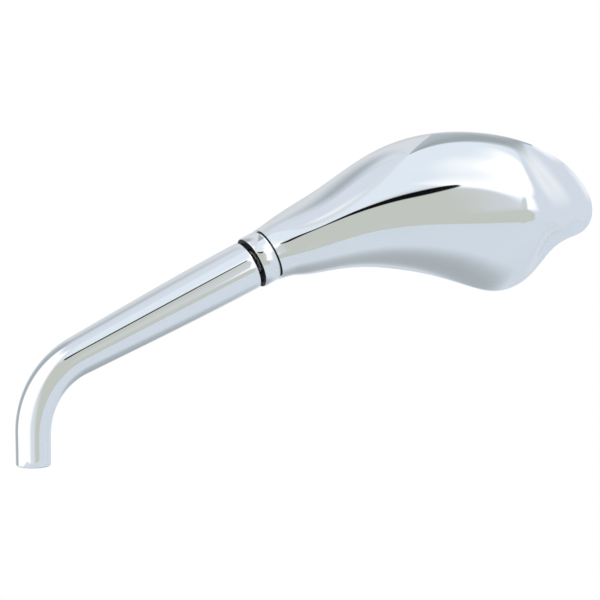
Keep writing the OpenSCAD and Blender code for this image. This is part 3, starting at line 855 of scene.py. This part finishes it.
def make_world():
    """A pale studio seen from the mirror, by height above the horizon and turn from the front."""
    world = bpy.data.worlds.new("studio")
    bpy.context.scene.world = world
    world.use_nodes = True
    n = Nodes(world.node_tree)
    x, y, z = n.split(n.add("ShaderNodeTexCoord", out=0))
    height = z.maths("ARCSINE", z) * (180 / math.pi)
    turn = x.maths("ARCTAN2", x, 0 - y) * (180 / math.pi)
    bright = (1.1, 1.1, 1.1, 1.0)

    # Front wall: a white panel at the left, then pale blue, olive and lavender
    raised = (height + 8).between(0.0, 32.0)
    colour = n.mix((turn - 14 + raised * 0.9).rises(-10, 10), rgb(220, 227, 234), rgb(200, 203, 196))
    colour = n.mix(turn.rises(27, 38) * height.rises(-2, 10), colour, rgb(209, 213, 216))
    bow = (height - 22).between(0.0, 30.0)
    past = turn - 57 + height.rises(-4, 5) * 15.5 + bow * bow * 0.028
    colour = n.mix(past.rises(-3, 2), colour, rgb(215, 223, 233))
    colour = n.mix(turn.falls(-24, -6), colour, bright)
    # Ceiling, glowing toward the right
    colour = n.mix(height.rises(39, 45) * turn.rises(-22, 2), colour, rgb(230, 239, 248))
    colour = n.mix(height.rises(60, 70) * turn.falls(-20, 0), colour, rgb(219, 226, 237))
    glow = turn.rises(26, 56) * turn.falls(96, 126) * height.rises(40, 48) * height.falls(56, 72)
    colour = n.mix(glow, colour, bright)
    # Upright soft box at the right, and its narrow left wing
    foot = height - (turn - 75) * 0.4
    box = turn.rises(48, 66) * turn.falls(112, 132) * foot.rises(24, 36) * height.falls(56, 66)
    wing = past.rises(-1, 3) * turn.falls(56, 74) * height.rises(-1, 6) * height.falls(42, 52)
    colour = n.mix(box.maths("MAXIMUM", box, wing), colour, bright)
    haze = turn.rises(104, 138) * turn.falls(138, 158) * height.rises(0, 22) * height.falls(20, 40)
    colour = n.mix(haze * 0.45, colour, bright)
    # Back of the room, darker at the right
    right = turn.rises(136, 152)
    left = turn.falls(-116, -104)
    wall = n.mix(turn.rises(-166, -134), rgb(221, 226, 230), rgb(172, 179, 186))
    colour = n.mix(left * height.rises(-24, -16), colour, wall)
    colour = n.mix(right * height.rises(6, 30), colour, rgb(187, 193, 198))
    colour = n.mix(right * height.rises(24, 40) * turn.falls(158, 184), colour, rgb(163, 171, 175))
    colour = n.mix(left * turn.rises(-172, -140) * height.rises(54, 76), colour, rgb(219, 226, 235))
    colour = n.mix(turn.falls(-176, -158) * height.falls(24, 40), colour, rgb(211, 215, 218))
    # The dark gap between the ceiling and the front wall
    along = turn - 17.5
    middle = 37.7 + along * along * 0.017
    half = 3.1 * along.maths("SQRT", (1 - along * along / 256).between(0.001, 1.0))
    gap = (height - middle).size() / half
    colour = n.mix(gap.falls(0.75, 1.2) * along.size().falls(15.5, 16), colour, rgb(14, 17, 19))
    # Table top, darker toward the back and straight down, where the mirror's shadow on it is painted in
    behind = turn.rises(140, 176) + turn.falls(-176, -150) + turn.rises(100, 150) * height.falls(-64, -44)
    low = n.mix(behind.between(0.0, 1.0) * height.falls(-50, -18), rgb(215, 222, 230), rgb(178, 182, 182))
    low = n.mix(height.falls(-88, -52), low, rgb(182, 186, 183))
    colour = n.mix(height.falls(-20.5, -18.5), colour, low)
    # White backdrop behind the mirror
    backdrop = turn.size().rises(172.5, 174.5) * height.rises(-22, -20) * height.falls(-1, 4)
    colour = n.mix(backdrop, colour, rgb(255, 255, 255))
    seen = n.add("ShaderNodeBackground", {}, {"Color": colour, "Strength": 1.0})
    end = n.tree.nodes.new("ShaderNodeOutputWorld")
    n.tree.links.new(seen.socket, end.inputs["Surface"])


def make_table():
    """A pale table top under the mirror, below the camera's view, with a painted shadow under the mirror.
    """
    deselect_all()
    bpy.ops.mesh.primitive_plane_add(size=1, location=(0.225, -0.11, TABLE_TOP))
    table = bpy.context.object
    table.name = "pale_table"
    table.scale = (1.65, 1.3, 1.0)
    bpy.ops.object.transform_apply(location=True, rotation=True, scale=True)
    edit(table)
    bpy.ops.mesh.select_all(action="SELECT")
    extrude(0, 0, -20)
    bpy.ops.mesh.select_all(action="SELECT")
    bpy.ops.mesh.normals_make_consistent(inside=False)
    done()
    made, n = material("pale_table_paint")
    clouds = n.noise(3, 2, 0.5)
    pale = n.mix(clouds, rgb(226, 232, 238), rgb(230, 236, 242))
    x, y = n.split(n.add("ShaderNodeTexCoord", out=3))[:2]
    # Painted shadow: a soft dark patch on the table under and behind the mirror
    x, y = (x - 0.06) / 0.3, (y - 0.2) / 0.34
    shade = (x * x + y * y).falls(0.1, 1.0)
    surface(n, Base_Color=n.mix(shade, pale, rgb(182, 187, 188)), Roughness=0.7)
    table.data.materials.append(made)


def soft_lamp(name, turn, height, width, depth, power):
    """A soft lamp in front of one of the room's white panels."""
    data = bpy.data.lights.new(name, "AREA")
    data.shape = "RECTANGLE"
    data.size = width
    data.size_y = depth
    data.energy = power
    lamp = bpy.data.objects.new(name, data)
    away = Vector((sind(turn) * cosd(height), -cosd(turn) * cosd(height), sind(height)))
    lamp.location = LIT_FROM + away * LAMP_AWAY
    lamp.rotation_euler = away.to_track_quat("Z", "Y").to_euler()
    bpy.context.scene.collection.objects.link(lamp)


make_world()
make_table()
soft_lamp("right_lamp", 80, 53, 0.7, 0.35, 1.2)
soft_lamp("left_lamp", -62, 20, 1.1, 0.7, 1.2)
camera_data = bpy.data.cameras.new("camera")
camera_data.sensor_width = 36
camera_data.lens = LENS
camera = bpy.data.objects.new("camera", camera_data)
camera.location = CAMERA_AT
camera.rotation_euler = (math.radians(90 - CAMERA_DOWN), 0, 0)
bpy.context.scene.collection.objects.link(camera)
bpy.context.scene.camera = camera
bpy.context.scene.view_settings.view_transform = "Standard"
